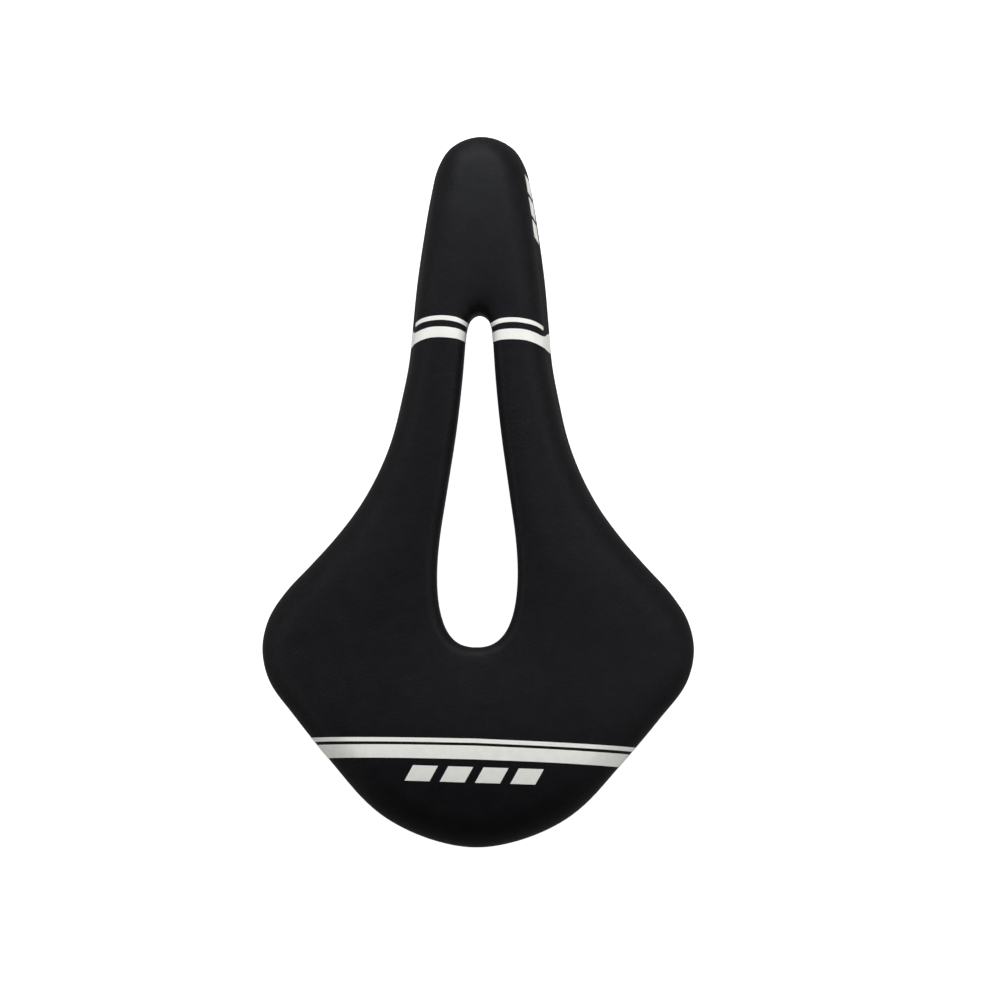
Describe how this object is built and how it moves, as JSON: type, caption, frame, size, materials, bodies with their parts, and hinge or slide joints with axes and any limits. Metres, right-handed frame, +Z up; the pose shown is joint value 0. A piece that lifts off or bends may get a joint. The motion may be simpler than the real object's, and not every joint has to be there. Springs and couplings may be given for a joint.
{
  "type": "bicycle saddle",
  "caption": "Short racing bicycle saddle with a full-length cut-out, padded cover on a moulded shell, and a one-piece wire rail that a seatpost clamps.",
  "frame": {"origin": "midway between the two rails, at the middle of the saddle's length, on the plane that the undersides of the rails touch", "axes": "+Y towards the nose, +X to the rider's right, +Z up"},
  "size_m": [0.155, 0.256, 0.0576],
  "materials": {
    "cover": "matt microfibre",
    "foam": "moulded foam skin",
    "nylon": "moulded, lightly textured",
    "rail_paint": "satin black",
    "screw_steel": "black oxide",
    "brass": "turned",
    "rubber": "matt",
    "film": "white transfer film"
  },
  "bodies": {
    "root": {"base_shell": "nylon", "cover": "cover", "foam_pad": "foam", "front_thin_stripe_left": "film", "front_thin_stripe_right": "film", "front_wide_stripe_left": "film", "front_wide_stripe_right": "film", "nose_clip": "nylon", "nose_clip_screw": "screw_steel", "nose_insert_nut": "brass", "nose_side_bar_1": "film", "nose_side_bar_2": "film", "nose_side_bar_3": "film", "rail_bow": "rail_paint", "rail_sleeve_left": "rubber", "rail_sleeve_right": "rubber", "rear_thin_stripe": "film", "rear_wide_stripe": "film", "tail_bar_1": "film", "tail_bar_2": "film", "tail_bar_3": "film", "tail_bar_4": "film"}
  },
  "joints": []
}
